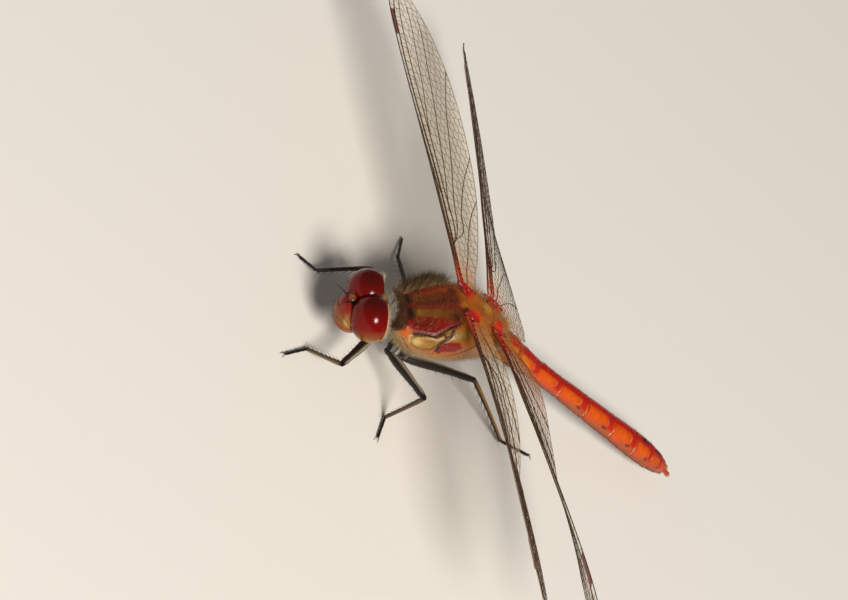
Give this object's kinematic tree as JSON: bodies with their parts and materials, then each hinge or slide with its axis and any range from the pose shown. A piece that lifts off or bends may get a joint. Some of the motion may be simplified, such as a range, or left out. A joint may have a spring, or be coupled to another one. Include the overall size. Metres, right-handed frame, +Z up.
{
  "type": "dragonfly",
  "caption": "Still life-size male Common Darter dragonfly, standing with all four wings spread flat.",
  "frame": {"origin": "centre of the bounding box's underside, on the floor the feet stand on", "axes": "+X towards the head, +Y to the animal's left, +Z up"},
  "size_m": [0.0401, 0.0595, 0.0152],
  "materials": {
    "head": "satin brown horn with short pale hair",
    "eye": "glossy, finely faceted, dark red above",
    "face": "satin amber and red horn",
    "antenna": "dark bristle",
    "thorax": "satin red-brown horn under brown hair",
    "abdomen": "waxy scarlet and orange horn",
    "wing": "clear, thin, with dark veins",
    "leg": "satin black with a pale stripe"
  },
  "bodies": {
    "root": {"head": "head", "face": "face", "eye_left": "eye", "eye_right": "eye", "antenna_left": "antenna", "antenna_right": "antenna", "prothorax": "thorax", "thorax": "thorax", "abdomen_segment_01": "abdomen", "abdomen_segment_02": "abdomen", "abdomen_segment_03": "abdomen", "abdomen_segment_04": "abdomen", "abdomen_segment_05": "abdomen", "abdomen_segment_06": "abdomen", "abdomen_segment_07": "abdomen", "abdomen_segment_08": "abdomen", "abdomen_segment_09": "abdomen", "abdomen_segment_10": "abdomen", "cercus_left": "abdomen", "cercus_right": "abdomen", "forewing_left": "wing", "forewing_right": "wing", "hindwing_left": "wing", "hindwing_right": "wing", "fore_coxa_left": "leg", "fore_coxa_right": "leg", "fore_femur_left": "leg", "fore_femur_right": "leg", "fore_tibia_left": "leg", "fore_tibia_right": "leg", "fore_tarsus_left": "leg", "fore_tarsus_right": "leg", "middle_coxa_left": "leg", "middle_coxa_right": "leg", "middle_femur_left": "leg", "middle_femur_right": "leg", "middle_tibia_left": "leg", "middle_tibia_right": "leg", "middle_tarsus_left": "leg", "middle_tarsus_right": "leg", "hind_coxa_left": "leg", "hind_coxa_right": "leg", "hind_femur_left": "leg", "hind_femur_right": "leg", "hind_tibia_left": "leg", "hind_tibia_right": "leg", "hind_tarsus_left": "leg", "hind_tarsus_right": "leg"}
  },
  "joints": []
}
